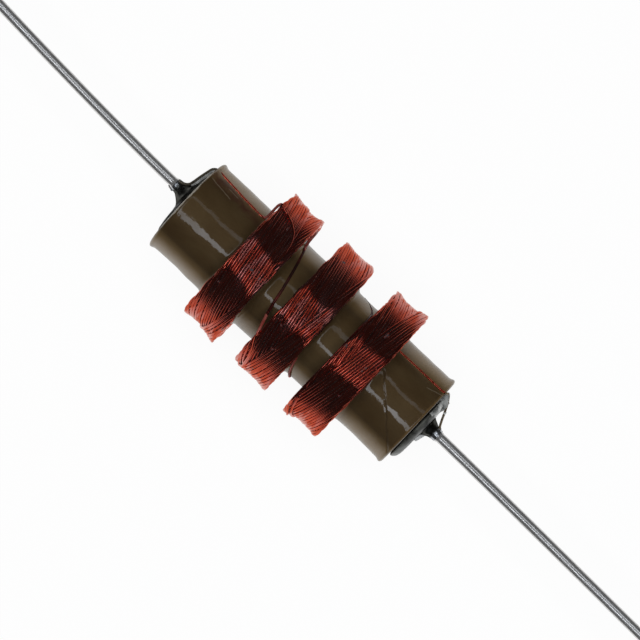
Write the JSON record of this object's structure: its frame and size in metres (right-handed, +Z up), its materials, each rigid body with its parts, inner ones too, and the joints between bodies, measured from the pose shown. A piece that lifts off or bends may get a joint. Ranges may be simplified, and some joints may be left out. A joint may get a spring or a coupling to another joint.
{
  "type": "axial inductor",
  "caption": "Axial choke: a varnished rod with universal wound sections of red enamelled wire, solder on both ends and long tinned round leads.",
  "frame": {"origin": "the middle of the part, on the surface that the windings lie on", "axes": "+X along the core from the left lead to the right lead, +Z up from the surface that it lies on"},
  "size_m": [0.0751, 0.0102, 0.0101],
  "materials": {
    "varnished_core": "brown varnish, glossy and slightly wavy",
    "enamelled_wire": "red enamel over copper, glossy under varnish",
    "solder": "cast tin and lead, bright where it flowed and dull where it chilled",
    "tinned_copper": "tinned, satin, with fine drawing marks"
  },
  "bodies": {
    "root": {"core": "varnished_core", "winding_left": "enamelled_wire", "winding_middle": "enamelled_wire", "winding_right": "enamelled_wire", "crossover_left": "enamelled_wire", "crossover_right": "enamelled_wire", "finish_wire": "enamelled_wire", "start_wire": "enamelled_wire", "solder_left": "solder", "solder_right": "solder", "lead_left": "tinned_copper", "lead_right": "tinned_copper"}
  },
  "joints": []
}
